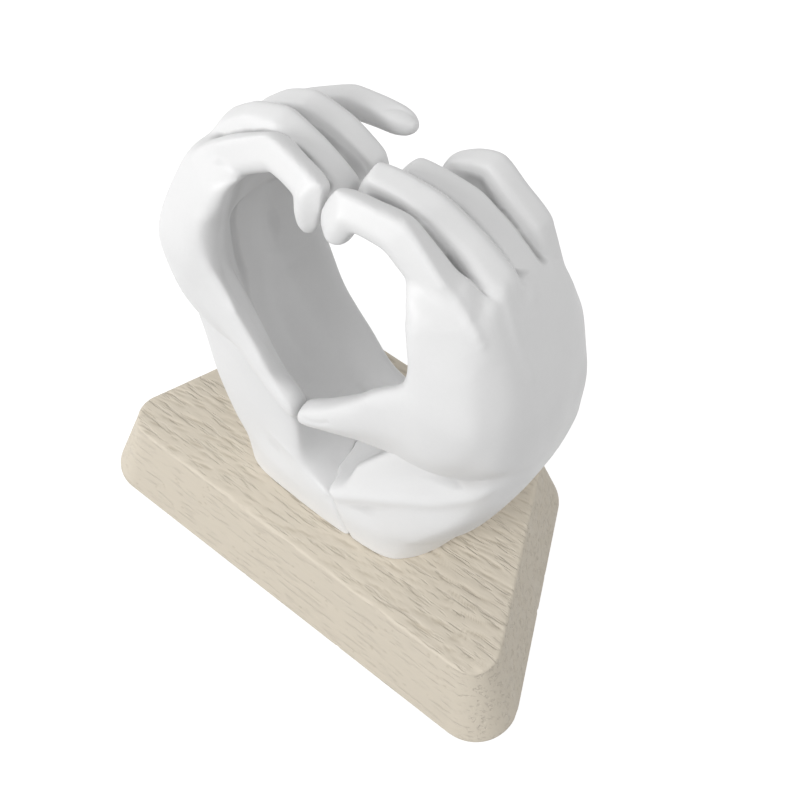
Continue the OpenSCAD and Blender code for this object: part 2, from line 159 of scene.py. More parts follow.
RIGHT_RING = [
    (42.5, 51, 88, 4.3, 4.4, 0), (40.4, 50.8, 98, 4.6, 4.7, 0), (37.3, 50.6, 109.8, 4.8, 5.0, 0),
    (29.4, 51.5, 116.2, 4.4, 4.5, 2), (21.4, 52.2, 120, 4.3, 4.4, 2), (14.5, 52.2, 120.9, 4.1, 4.2, 0),
    (8.4, 51.9, 121, 4.1, 4.1, 0), (5.6, 51.3, 116.8, 3.9, 3.8, 0), (4.9, 50.8, 113.2, 3.1, 3.0, 0),
    (4.7, 50.6, 111.6, 1.5, 1.5, 0),
]
RIGHT_LITTLE = [
    (43, 57.8, 87, 4.2, 4.6, 0), (40, 58.7, 101, 4.5, 4.6, 0), (33, 59.7, 115.8, 4.6, 4.5, -6),
    (26.3, 61.3, 119.2, 4.3, 4, -8), (20.2, 63.3, 121.6, 3.9, 3.9, 0), (16.3, 62.9, 120.7, 3.7, 3.7, 0),
    (12.9, 62, 118.9, 3.6, 3.6, 0), (10.6, 61.4, 117.2, 3.1, 3.1, 0), (9.4, 61.1, 116.2, 1.6, 1.6, 0),
]
LEFT_INDEX = [
    (43.5, 32, 91, 4.6, 4.6, 20), (40.6, 31.8, 102.5, 5.0, 5.0, 26), (36.3, 31.4, 114, 5.5, 5.2, 28),
    (27.4, 32, 122.2, 4.8, 4.7, 24), (16.3, 32.9, 129.2, 4.4, 4.3, 8), (9.6, 31.5, 129.3, 4.0, 4.0, 8),
    (3.4, 30, 128.6, 4.1, 3.9, 6), (3.3, 28.2, 124.5, 3.5, 3.1, 4), (3, 27.4, 120.8, 2.8, 2.5, 0),
    (2.9, 27.1, 118.4, 1.5, 1.3, 0),
]
LEFT_MIDDLE = [
    (43, 41.3, 92, 4.4, 4.4, 5), (40.6, 41.3, 103, 4.7, 4.7, 6), (37.6, 41.4, 115.4, 5.0, 5.0, 6),
    (29.3, 41.4, 123, 4.6, 4.6, 6), (20.9, 41.5, 126.3, 4.6, 4.5, 6), (13, 41.2, 123.8, 4.3, 4.3, 4),
    (5, 40.3, 119.8, 4.3, 4.2, 4), (4.2, 39.8, 115, 4.1, 4.0, 3), (3.9, 39.4, 111, 3.4, 3.2, 0),
    (3.8, 39.2, 109.2, 1.6, 1.6, 0),
]
LEFT_RING = [
    (42.5, 51, 88, 4.3, 4.4, 0), (40.4, 50.8, 98, 4.6, 4.7, 0), (36.8, 51, 111.6, 4.8, 5.0, 0),
    (29.4, 51.8, 119.2, 4.4, 4.5, 2), (22.6, 52.3, 122.4, 4.4, 4.4, 2), (13.5, 52.3, 121, 4.2, 4.2, 0),
    (6.4, 51.9, 117.4, 4.2, 4.2, 0), (5, 51.5, 112.8, 3.9, 3.8, 0), (4.6, 51.2, 109.5, 3.1, 3.0, 0),
    (4.5, 51.1, 107.8, 1.5, 1.5, 0),
]
LEFT_LITTLE = [
    (42.5, 57.8, 87, 4.0, 4.2, 0), (40, 59, 100, 4.1, 4.4, 0), (33.6, 61, 110.5, 4.1, 4.4, 0),
    (28, 63.3, 113.6, 3.9, 3.9, 0), (21.5, 65, 116.6, 3.9, 3.7, 0), (13, 65, 118.2, 3.7, 3.5, 0),
    (7.5, 65, 118.8, 3.6, 3.2, 0), (4.4, 65, 119.2, 2.8, 2.5, 0), (2.4, 65, 119.5, 1.3, 1.2, 0),
]
RIGHT_FINGERS = ((RIGHT_INDEX, RIDGED), (RIGHT_MIDDLE, FLAT), (RIGHT_RING, FLAT), (RIGHT_LITTLE, FLAT))
LEFT_FINGERS = ((LEFT_INDEX, RIDGED), (LEFT_MIDDLE, FLAT), (LEFT_RING, FLAT), (LEFT_LITTLE, FLAT))

# How many places of two neighbouring fingers the web between them follows, and how far down it lies.
# A web sinks along WEB_FALL and has half a thickness of WEB_THICK.
RIGHT_WEBS = ((7, 2.9), (7, 2.9), (7, 2.4))
LEFT_WEBS = ((7, 4.2), (7, 4.2), (4, 3.2))
WEB_FALL = np.array([-0.5, 0, -0.85])
WEB_THICK = 1.9

# Steps between two places of a table and between two points of an outline, and how far the skin
# bends there, from straight at 0 to round at 1: for the palm and thumb, and for a finger
PALM_STEPS = (6, 8)
PALM_BENDS = (1, 0.8)
FINGER_STEPS = (5, 4)
FINGER_BENDS = (0.35, 0.35)

# Least cosine that a finger's mitred joint is widened for
MITRE_LIMIT = 0.8

# Curve steps between the points of a line on the skin, and how many of its widths it reaches
STROKE_STEPS = 4
STROKE_REACH = 3

# Passes that even out a hand after its lines
LAST_SMOOTHING = 2

# Lines raised from the skin or sunk into it: points, height and width in drawn millimetres
BOTH_STROKES = [
    ([(4.5, 15.5, 57.5), (13, 18, 59.5), (22, 20.5, 60.5), (32, 22.5, 60.5), (41, 24.5, 62.5),
      (48, 25.5, 67)], -0.9, 1.5),
    ([(45, 26.8, 108), (48, 24.3, 101), (50.2, 21.5, 92), (49.8, 20.7, 84), (47.5, 20, 76)], -0.45, 4.2),
]
RIGHT_STROKES = BOTH_STROKES + [
    ([(33.6, 34.3, 121), (35.6, 35.4, 118.2), (38.7, 35.6, 117.2)], 1, 2.4),
    ([(5, 15, 16), (15, 17, 24), (28, 18.7, 35.5), (39, 20.8, 44.5), (47, 23, 54), (51.5, 24, 60)],
     0.6, 2.2),
    ([(12, 19, 28), (22, 20.5, 40), (32, 21.5, 49), (42, 23, 56)], -0.4, 3.5),
    ([(13, 13.2, -1), (9, 14, 8), (5, 15, 16)], -0.8, 0.8),
    ([(19, 32.4, 132.3), (24.5, 31, 129.3), (30.6, 29.6, 124.8), (36, 29.6, 120.5), (42.2, 28.3, 114.2)],
     0.3, 1.2),
    ([(39.8, 39.2, 119.4), (41.7, 38.3, 116.7), (43.7, 37.3, 114.2), (45.8, 36.2, 111.1), (48.4, 36, 106.5),
      (51, 36.2, 101.2)], 0.35, 1.6),
    ([(41.6, 47.1, 114.3), (43, 46.1, 113)], 0.4, 1.8),
    ([(37.8, 57.9, 116.1), (40.7, 57.4, 111.2)], 0.3, 1.8),
    ([(35.2, 28.7, 121), (36.9, 28.5, 119.5), (38.9, 28.2, 117.8), (41, 28, 115.9)], 0.25, 1.1),
    ([(1.2, 12.6, 65), (3.1, 11.5, 65.8), (5.5, 11.4, 66.4), (8.5, 11.6, 68.2), (11, 12.1, 70.6)],
     -0.3, 0.6),
]
LEFT_STROKES = BOTH_STROKES + [
    ([(20, 36.6, 125.8), (16, 36.3, 126.6), (12.4, 36.4, 126), (8.5, 36.2, 125), (5, 36, 124)], -1.3, 1.7),
    ([(21.5, 46.2, 127.5), (17, 46.3, 127), (13.7, 46.6, 125.5), (10, 46.8, 124), (6, 47, 121.5),
      (2.5, 47, 119.5)], -1.3, 1.8),
    ([(25, 22, 92), (22.5, 20.5, 88.4), (17, 20, 81), (11.4, 19.2, 74.2), (7.8, 17.8, 71.8)], -1.8, 4.2),
    ([(28.8, 20.3, 111), (30.3, 19, 107), (30.4, 18.3, 101.7), (29, 17.8, 95.9)], 0.3, 1.8),
    ([(37, 37, 92), (37.2, 36, 80), (35, 34.5, 71), (31, 31, 62), (27, 29.5, 53), (22.5, 28.5, 45),
      (18, 28.5, 38), (14.5, 29, 32)], -2.4, 3.8),
    ([(33.5, 44.5, 62.5), (29.5, 43.5, 52.5), (24.8, 43, 43.8), (20, 42, 37)], 0.9, 5.5),
    ([(35.6, 41.5, 68.5), (33.4, 37.8, 64.5), (29.6, 35.4, 57), (25.6, 34.8, 48), (21, 34.8, 40),
      (17, 34, 34.5)], 0.35, 2.2),
    ([(30.5, 57.1, 66.2), (32.2, 53.4, 65.4), (34.3, 49.3, 64.8), (35.6, 44.7, 66.1)], 0.2, 2),
    ([(10.4, 63.2, 121.4), (8.6, 64.9, 121.9), (6.2, 65.8, 121.8), (3.9, 66.2, 121)], -0.3, 0.6),
    ([(27, 15, 37.5), (21.6, 15, 26), (12.9, 15, 22.8), (3.2, 15, 19.6), (-3, 15, 15.2)], 0.7, 1.6),
    ([(-13, 13.2, -1), (-9, 14, 8), (-5, 15, 16)], -0.8, 0.8),
]

# Parts of the skin that are evened out more: middle and radius in drawn millimetres
EVEN_SPOTS = [
    ((50, 38, 90), 17), ((47, 52, 92), 15), ((53, 45, 75), 16), ((50, 28, 62), 13), ((44, 40, 106), 8),
    ((44, 50, 100), 7), ((40, 22, 88), 15), ((33, 19, 100), 10), ((52, 45, 52), 16), ((38, 24, 110), 7),
    ((28, 25.6, 118.5), 6), ((41, 41, 113), 8), ((42, 50, 108), 7), ((28, 19, 92), 10), ((23, 15, 75), 11),
    ((33.3, 27.8, 119.7), 5), ((48, 19, 80), 14), ((36, 18, 68), 12), ((33, 17, 86), 12),
    ((46, 26, 102), 9), ((40, 18, 98), 11),
]

# Seam between the wrists: how far it laps past the middle at the plinth's top, the height where the
# lap ends, the seam's line in plan as shares of the lap and places in depth, and the gap between
# the hands
SEAM_LAP = 13
SEAM_HEIGHT = 26
SEAM_LINE = [(1, 9.9), (1, 13.2), (0.3, 23.8), (0, 33)]
SEAM_GAP = 0.3

# Plinth, drawn in millimetres round its middle: widths of the top's front and back, depth, height,
# how far its foot stands out, radii of its top's and foot's corners, and length over those
PLINTH_FRONT = 150
PLINTH_BACK = 88
PLINTH_DEPTH = 74
PLINTH_HEIGHT = 32
PLINTH_FLARE = 9.2
PLINTH_TOP_RADIUS = 9
PLINTH_FOOT_RADIUS = 14
PLINTH_LENGTH = 164.2
DRAWN_PLINTH = np.array([PLINTH_LENGTH, PLINTH_DEPTH + 2 * PLINTH_FLARE, PLINTH_HEIGHT])
PLINTH_UNIT = np.array(PLINTH_HIGH - PLINTH_LOW) / DRAWN_PLINTH
PLINTH_ORIGIN = np.array([0, (PLINTH_LOW.y + PLINTH_HIGH.y) / 2, PLINTH_LOW.z])

FULL_STEPS = ((240, 150, 130, 150), 36, 60)

# Steps of the plinth's rounded foot, rim and corners, how far in its underside closes, and the
# corner radius of the last ring on its top
FOOT_STEPS = 4
RIM_STEPS = 5
CORNER_STEPS = 22
UNDERSIDE_INSET = 20
MIDDLE_RADIUS = 1

# Chisel marks: length, width and depth from least to most in drawn millimetres, and the mean and
# spread of their turn in radians, on the top from the grain and on the sides from the edge
CARVING_SEED = 7
TOP_MARK = ((4, 11), (0.34, 0.5), (0.06, 0.26))
TOP_TURN = (0, 0.05)
SIDE_MARK = ((0.9, 2.6), (0.36, 0.52), (0.06, 0.24))
SIDE_TURN = (0.25, 0.4)

# Room round the fixings, the radius of a screw's shank, sides of a bore, and how far a cutter runs
# past what it cuts
BORE_CLEARANCE = 0.3
SHANK_RADIUS = 2.8
BORE_SIDES = 64
OVERRUN = 2 * MM

# Hollows that the finish darkens as painted shade: passes that even the skin out, and the depth in
# millimetres that counts as full. In the palm only what is deeper than PALM_CREASE counts, and its share
# stays within
# PALM_SHARES. That holds below the height PALM_TOP, and sets in over PALM_FADE.
FINE_HOLLOW = (12, 0.15)
WIDE_HOLLOW = (110, 0.62)
PALM_TOP = 100
PALM_FADE = 8
PALM_CREASE = 0.4
PALM_SHARES = (-0.15, 0.5)

# Distance below which points of a loft are one, in drawn millimetres, and most triangles of a hand
WELD = 1e-4
FACE_LIMIT = 190000

# Lamps: name, direction from the ornament and size in metres, all LAMP_AWAY from it
LAMPS = (("key", (-1, 0, 0.35), 0.7), ("front", (-0.35, -1, 0.55), 0.7), ("side", (0.8, -0.1, 0.9), 0.9))
LAMP_AWAY = 1.2

# Half the floor's side in metres, its shade to lamps, and how bright it looks to the camera
FLOOR_HALF = 4
FLOOR_SHADE = 0.35
FLOOR_GLOW = 1.02

# Width in millimetres that the camera's lens is given for
SENSOR_WIDTH = 36

# Point, in metres, that the camera and the lamps look at
AIM = Vector((-0.00453, 0.02421, PLINTH_HIGH.z))


def run_through(points, steps, closed=False, soft=1.0):
    """Curve through a run of points, from straight lines at soft 0 to a smooth curve at 1."""
    points = np.asarray(points, float)
    count = len(points)
    out = []
    for i in range(count if closed else count - 1):
        start, end = points[i], points[(i + 1) % count]
        before = points[i - 1] if closed or i else start
        after = points[(i + 2) % count] if closed else points[min(i + 2, count - 1)]
        for step in range(steps):
            t = step / steps
            curve = 0.5 * (2 * start + (end - before) * t
                           + (2 * before - 5 * start + 4 * end - after) * t ** 2
                           + (3 * start - before - 3 * end + after) * t ** 3)
            out.append(soft * curve + (1 - soft) * (start + (end - start) * t))
    if not closed:
        out.append(points[-1])
    return np.array(out)


def add_loft(bm, sections):
    """Skin through closed sections of as many points each, with flat ends."""
    rows, cols = sections.shape[:2]
    grid = bmesh.ops.create_grid(bm, x_segments=cols, y_segments=rows - 1, size=1)["verts"]
    for index, vert in enumerate(grid):
        row, col = divmod(index, cols + 1)
        vert.co = sections[row, col % cols]
    bmesh.ops.remove_doubles(bm, verts=grid, dist=WELD)
    edges = [edge for edge in bm.edges if edge.is_boundary]
    bmesh.ops.holes_fill(bm, edges=edges, sides=0)


def table_sections(table):
    """Dense sections through a table of outlines of the palm or thumb."""
    along, around = PALM_STEPS
    soft_along, soft_around = PALM_BENDS
    rows = run_through(table, along, soft=soft_along)
    return np.array([run_through(row, around, closed=True, soft=soft_around) for row in rows])


def unit(vector):
    """The same direction with length 1."""
    return vector / np.linalg.norm(vector)


def finger_sections(table, outline):
    """Sections of a finger whose joints are mitred."""
    along, around = FINGER_STEPS
    soft_along, soft_around = FINGER_BENDS
    rows = run_through(table, along, soft=soft_along)
    shape = run_through(outline, around, closed=True, soft=soft_around)
    spine = rows[:, :3]
    sections = []
    for i, row in enumerate(rows):
        ahead = unit(spine[min(i + 1, len(rows) - 1)] - spine[min(i, len(rows) - 2)])
        behind = unit(spine[max(i, 1)] - spine[max(i - 1, 0)])
        course = unit(ahead + behind)
        mitre = 1 / max(float(ahead @ course), MITRE_LIMIT)
        side = unit(np.array([0, 1, 0]) - course * course[1])
        back = np.cross(side, course)
        half_width, half_thickness, turn = row[3:]
        cos, sin = math.cos(math.radians(turn)), math.sin(math.radians(turn))
        wide = side * cos + back * sin
        high = back * cos - side * sin
        sections.append([spine[i] + wide * across * half_width + high * up * half_thickness * mitre
                         for across, up in shape])
    return np.array(sections)


def web_table(first, second, rows, drop):
    """Thin run between two fingers, below their backs, that closes the gap between them."""
    table = []
    for left, right in zip(first[:rows], second[:rows]):
        left, right = np.array(left), np.array(right)
        middle = (left[:3] + right[:3]) / 2 + drop * WEB_FALL
        table.append((*middle, np.linalg.norm(left[:3] - right[:3]) / 2, WEB_THICK, 0))
    return table


def new_object(name, bm):
    """Turns a bmesh into an object of the scene."""
    mesh = bpy.data.meshes.new(name)
    bm.to_mesh(mesh)
    bm.free()
    piece = bpy.data.objects.new(name, mesh)
    bpy.context.scene.collection.objects.link(piece)
    return piece


def placed_object(name, bm, scale=UNIT, origin=ORIGIN):
    """Turns a bmesh in drawn millimetres into an object in the frame."""
    bmesh.ops.recalc_face_normals(bm, faces=bm.faces)
    for vert in bm.verts:
        vert.co = placed(vert.co, scale, origin)
    return new_object(name, bm)


def smooth_shaded(piece):
    """Shades every face of a piece smooth."""
    for face in piece.data.polygons:
        face.use_smooth = True


def apply_modifiers(piece):
    """Bakes the modifiers of a piece into its mesh."""
    graph = bpy.context.evaluated_depsgraph_get()
    mesh = bpy.data.meshes.new_from_object(piece.evaluated_get(graph))
    piece.modifiers.clear()
    old = piece.data
    piece.data = mesh
    bpy.data.meshes.remove(old)
    mesh.name = piece.name


def remeshed(piece, voxel):
    """Joins the overlapping parts of a piece into one skin."""
    modifier = piece.modifiers.new("voxels", "REMESH")
    modifier.mode = "VOXEL"
    modifier.voxel_size = voxel
    apply_modifiers(piece)


def cut(piece, cutter, operation="DIFFERENCE"):
    """Takes a cutter from a piece, or keeps what they share, and deletes the cutter."""
    modifier = piece.modifiers.new("cut", "BOOLEAN")
    modifier.object = cutter
    modifier.operation = operation
    modifier.solver = "MANIFOLD"
    apply_modifiers(piece)
    bpy.data.objects.remove(cutter)


def mesh_points(piece):
    """Places of a piece's vertices."""
    mesh = piece.data
    co = np.empty(len(mesh.vertices) * 3)
    mesh.vertices.foreach_get("co", co)
    return co.reshape(-1, 3)


def mesh_normals(piece):
    """Normals of a piece's vertices."""
    mesh = piece.data
    out = np.empty(len(mesh.vertices) * 3, np.float32)
    mesh.vertex_normals.foreach_get("vector", out)
    return out.reshape(-1, 3).astype(float)


def set_points(piece, points):
    """Moves a piece's vertices to new places."""
    piece.data.vertices.foreach_set("co", points.ravel())
    piece.data.update()


def smoothed(piece, passes, weights=1):
    """Moves each vertex half way to the middle of its neighbours, so many times.

    Weights from 0 to 1 shorten the way.
    """
    mesh = piece.data
    edges = np.empty(len(mesh.edges) * 2, np.int64)
    mesh.edges.foreach_get("vertices", edges)
    edges = edges.reshape(-1, 2)
    points = mesh_points(piece)
    count = np.bincount(edges.ravel(), minlength=len(points)).clip(1)[:, None]
    share = 0.5 * np.broadcast_to(weights, len(points))[:, None]
    for _ in range(passes):
        total = np.zeros_like(points)
        for axis in range(3):
            total[:, axis] = (np.bincount(edges[:, 0], points[edges[:, 1], axis], len(points))
                              + np.bincount(edges[:, 1], points[edges[:, 0], axis], len(points)))
        points += share * (total / count - points)
    set_points(piece, points)


def hand_form(name, fingers, webs):
    """Palm, thumb and four fingers of a right hand, overlapping."""
    bm = bmesh.new()
    add_loft(bm, table_sections(PALM))
    add_loft(bm, table_sections(THUMB))
    for table, outline in fingers:
        add_loft(bm, finger_sections(table, outline))
    for (first, _), (second, _), (rows, drop) in zip(fingers, fingers[1:], webs):
        add_loft(bm, finger_sections(web_table(first, second, rows, drop), FLAT))
    return placed_object(name, bm)


def polyline_distance(points, line):
    """Distance of each point to a bent line."""
    best = np.full(len(points), np.inf)
    for start, end in zip(line[:-1], line[1:]):
        run = end - start
        t = np.clip((points - start) @ run / (run @ run), 0, 1)[:, None]
        best = np.minimum(best, np.linalg.norm(points - start - t * run, axis=1))
    return best


def stroked(piece, strokes):
    """Raises ridges, and sinks creases, along lines drawn near the surface of a hand."""
    points = mesh_points(piece)
    normals = mesh_normals(piece)
    spots = drawn(points)
    shift = np.zeros(len(points))
    for line, height, width in strokes:
        line = run_through(line, STROKE_STEPS)
        reach = STROKE_REACH * width
        inside = (spots > line.min(0) - reach) & (spots < line.max(0) + reach)
        near = np.flatnonzero(np.all(inside, axis=1))
        away = polyline_distance(spots[near], line)
        shift[near] += height * np.exp(-(away / width) ** 2)
    set_points(piece, points + normals * (shift * MM)[:, None])


def soft_weights(piece):
    """1 where the skin is evened out more, falling to 0 over the outer half of each spot."""
    points = drawn(mesh_points(piece))
    weights = np.zeros(len(points))
    for middle, radius in EVEN_SPOTS:
        away = np.linalg.norm(points - np.array(middle), axis=1) / radius
        weights = np.maximum(weights, np.clip(2 - 2 * away, 0, 1))
    return weights


def half_space(shift, side):
    """Everything above the plinth on one side of the seam between the wrists."""
    bm = bmesh.new()
    far = 2 * DRAWN_REACH * side
    sections = []
    for z, lap in ((0, SEAM_LAP), (SEAM_HEIGHT, 0), (2 * DRAWN_HEIGHT, 0)):
        seam = [(share * lap + shift, y, z) for share, y in SEAM_LINE]
        front = (seam[0][0], -DRAWN_FRONT, z)
        back = (shift, 2 * DRAWN_DEPTH, z)
        sections.append([(far, -DRAWN_FRONT, z), front] + seam + [back, (far, 2 * DRAWN_DEPTH, z)])
    add_loft(bm, np.array(sections, float))
    return placed_object("half_space", bm)


def round_cutter(node, clearance, low, high):
    """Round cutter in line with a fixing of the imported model, between two heights."""
    first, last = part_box(node)
    middle = (first + last) / 2
    radius = (last.x - first.x) / 2 + clearance
    bm = bmesh.new()
    place = Matrix.Translation((middle.x, middle.y, (low + high) / 2))
    bmesh.ops.create_cone(bm, cap_ends=True, segments=BORE_SIDES, radius1=radius, radius2=radius,
                          depth=high - low, matrix=place)
    return new_object("bore", bm)


def bored_wrist(piece, side):
    """Blind bores in a wrist for its threaded insert and its dowel."""
    clearance = BORE_CLEARANCE * MM
    for fixing, room in (("_threaded_insert", 2 * clearance), ("_locating_dowel", clearance)):
        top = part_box(side + fixing)[1].z + room
        cut(piece, round_cutter(side + fixing, clearance, PLINTH_HIGH.z - OVERRUN, top))


def hollow_shares(piece, name, passes, depth, palm_facing=(0, 0, 0)):
    """Keeps on each vertex how deep it lies below its surroundings, for the finish to darken as painted
    shade.

    Of the palm, which looks along the facing, only the deep creases count.
    """
    points = mesh_points(piece)
    normals = mesh_normals(piece)
    smoothed(piece, passes)
    even = mesh_points(piece)
    set_points(piece, points)
    share = ((even - points) * normals).sum(axis=1) / (depth * MM)
    palm = np.clip(normals @ np.array(palm_facing), 0, 1)
    palm *= np.clip((PALM_TOP - drawn(points)[:, 2]) / PALM_FADE, 0, 1)
    share += palm * (np.clip(share - PALM_CREASE, *PALM_SHARES) - share)
    layer = piece.data.attributes.new(name, "FLOAT", "POINT")
    layer.data.foreach_set("value", np.clip(share, -1, 1).astype(np.float32))


def thinned(piece, triangles):
    """Takes out faces where a hand is plain, until it has no more than so many triangles."""
    piece.data.calc_loop_triangles()
    count = len(piece.data.loop_triangles)
    if count > triangles:
        modifier = piece.modifiers.new("thin", "DECIMATE")
        modifier.ratio = triangles / count
        apply_modifiers(piece)


def cast_hand(name, fingers, webs, strokes, values):
    """A cast hand: rough form, joined skin, modelled details, then its seam and bores."""
    side = name.split("_")[0]
    piece = hand_form(name, fingers, webs)
    remeshed(piece, values.skin_grain)
    smoothed(piece, values.smoothing)
    smoothed(piece, values.evening, weights=soft_weights(piece))
    stroked(piece, strokes)
    smoothed(piece, LAST_SMOOTHING)
    if side == "left":
        points = mesh_points(piece)
        points[:, 0] *= -1
        set_points(piece, points)
        piece.data.flip_normals()
        cut(piece, half_space(-SEAM_GAP / 2, -1), "INTERSECT")
    else:
        cut(piece, half_space(SEAM_GAP / 2, 1), "INTERSECT")
    thinned(piece, FACE_LIMIT)
    bored_wrist(piece, side)
    # Depths that the finish darkens as painted shade: fine hollows, then wide grooves and the palm's deep
    # creases
    hollow_shares(piece, "hollow", *FINE_HOLLOW)
    hollow_shares(piece, "groove", *WIDE_HOLLOW, palm_facing=(1 if side == "left" else -1, 0, 0))
    smooth_shaded(piece)
    return piece


def plinth_corners(out):
    """Corners of the plinth's outline, moved outwards, in drawn millimetres."""
    slope = (PLINTH_BACK - PLINTH_FRONT) / 2 / PLINTH_DEPTH
    corners = []
    for y, wide in ((-PLINTH_DEPTH / 2 - out, -1), (-PLINTH_DEPTH / 2 - out, 1),
                    (PLINTH_DEPTH / 2 + out, 1), (PLINTH_DEPTH / 2 + out, -1)):
        half = PLINTH_FRONT / 2 + slope * (y + PLINTH_DEPTH / 2) + out * math.hypot(1, slope)
        corners.append(np.array([wide * half, y]))
    return corners


def plinth_ring(out, radius, z, side_steps):
    """Rounded outline of the plinth at one height."""
    corners = plinth_corners(out)
    arcs = []
    for i in range(4):
        before, corner, after = corners[i - 1], corners[i], corners[(i + 1) % 4]
        back, on = unit(before - corner), unit(after - corner)
        half = math.acos(float(back @ on)) / 2
        centre = corner + unit(back + on) * radius / math.sin(half)
        first = corner + back * radius / math.tan(half) - centre
        turn = math.pi - 2 * half
        arcs.append([centre + Matrix.Rotation(turn * k / CORNER_STEPS, 2) @ Vector(first)
                     for k in range(CORNER_STEPS + 1)])
    ring = []
    for i in range(4):
        ring += [np.array(spot) for spot in arcs[i]]
        start, end = ring[-1], np.array(arcs[(i + 1) % 4][0])
        steps = side_steps[i]
        ring += [start + (end - start) * k / steps for k in range(1, steps)]
    return [(x, y, z) for x, y in ring]


def plinth_profile(edge, rows, top_rows):
    """Outward move, corner radius and height of each ring, from the underside to the top's middle."""
    flare, foot, top = PLINTH_FLARE, PLINTH_FOOT_RADIUS, PLINTH_TOP_RADIUS
    high = PLINTH_HEIGHT
    profile = [(-UNDERSIDE_INSET, foot, 0), (flare - 3 * edge, foot, 0), (flare - 2 * edge, foot, 0)]
    for k in range(FOOT_STEPS + 1):
        turn = math.radians(90 * k / FOOT_STEPS)
        profile.append((flare - edge + edge * math.sin(turn), foot, edge - edge * math.cos(turn)))
    for k in range(1, rows):
        t = k / rows
        profile.append((flare * (1 - t), foot + (top - foot) * t, edge + (high - 2 * edge) * t))
    for k in range(RIM_STEPS + 1):
        turn = math.radians(90 * k / RIM_STEPS)
        profile.append((-edge + edge * math.cos(turn), top - edge + edge * math.cos(turn),
                        high - edge + edge * math.sin(turn)))
    for k in range(1, top_rows + 1):
        t = k / top_rows
        inset = edge + (PLINTH_DEPTH / 2 - 2 * edge) * t
        profile.append((-inset, top - edge + (MIDDLE_RADIUS - top + edge) * t, high))
    return profile


def mark_size(rng, ranges, values):
    """Length, width and depth of a chisel mark."""
    length, width, depth = [rng.uniform(*limits) for limits in ranges]
    return length, width, depth * values.carving_depth


def carving(values):
    """Chisel marks of the plinth: middle, run, length, width and depth of each, in drawn millimetres."""
    rng = np.random.default_rng(CARVING_SEED)
    marks = []
    grain = math.radians(values.grain_turn)
    for _ in range(values.top_marks):
        x = rng.uniform(-PLINTH_FRONT / 2, PLINTH_FRONT / 2)
        y = rng.uniform(-PLINTH_DEPTH / 2, PLINTH_DEPTH / 2)
        turn = grain + rng.normal(*TOP_TURN)
        run = np.array([math.cos(turn), math.sin(turn), 0])
        marks.append((np.array([x, y, PLINTH_HEIGHT]), run, *mark_size(rng, TOP_MARK, values)))
    corners = plinth_corners(PLINTH_FLARE / 2)
    for _ in range(values.side_marks):
        i = rng.integers(4)
        start, end = corners[i], corners[(i + 1) % 4]
        along = unit(end - start)
        share = rng.uniform()
        up = rng.uniform()
        lean = np.array([along[1], -along[0]]) * (0.5 - up) * PLINTH_FLARE
        spot = start + (end - start) * share + lean
        turn = rng.normal(*SIDE_TURN)
        run = np.array([along[0] * math.cos(turn), along[1] * math.cos(turn), -math.sin(turn)])
        marks.append((np.array([*spot, PLINTH_HEIGHT * up]), run, *mark_size(rng, SIDE_MARK, values)))
    return marks


def carve(piece, marks):
    """Sinks the chisel marks into a mesh along its normals."""
    points = mesh_points(piece)
    normals = mesh_normals(piece)
    spots = drawn(points, PLINTH_UNIT, PLINTH_ORIGIN)
    shift = np.zeros(len(points))
    for middle, run, length, width, depth in marks:
        near = np.flatnonzero(np.all(np.abs(spots - middle) < length / 2 + 2 * width, axis=1))
        away = spots[near] - middle
        along = away @ run
        facing = normals[near]
        away = away - along[:, None] * run
        off = np.linalg.norm(away - (away * facing).sum(axis=1)[:, None] * facing, axis=1)
        fade = np.clip(1 - (2 * along / length) ** 2, 0, 1)
        shift[near] -= depth * fade * np.exp(-(off / width) ** 2)
    set_points(piece, points + normals * (shift * MM)[:, None])


def carved_plinth(name, values):
    """The plinth: rings up its side and over its top, chisel marks, and the holes of its fixings."""
    side_steps, rows, top_rows = FULL_STEPS
    profile = plinth_profile(values.edge_round, rows, top_rows)
    rings = [plinth_ring(out, radius, z, side_steps) for out, radius, z in profile]
    bm = bmesh.new()
    add_loft(bm, np.array(rings, float))
    piece = placed_object(name, bm, PLINTH_UNIT, PLINTH_ORIGIN)
    carve(piece, carving(values))
    clearance = BORE_CLEARANCE * MM
    for side in ("left", "right"):
        washer = side + "_washer"
        shank = side + "_threaded_insert"
        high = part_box(washer)[1]
        cut(piece, round_cutter(washer, clearance, PLINTH_LOW.z - OVERRUN, high.z + clearance))
        inner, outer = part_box(shank)
        shrink = SHANK_RADIUS * MM - (outer.x - inner.x) / 2
        cut(piece, round_cutter(shank, shrink, high.z, PLINTH_HIGH.z + OVERRUN))
        dowel = side + "_locating_dowel"
        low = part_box(dowel)[0]
        cut(piece, round_cutter(dowel, clearance, low.z - clearance, PLINTH_HIGH.z + OVERRUN))
    # Depths that the finish darkens as painted shade in the chisel marks, and heights of the edges it makes
    # paler
    hollow_shares(piece, "hollow", *FINE_HOLLOW)
    smooth_shaded(piece)
    return piece


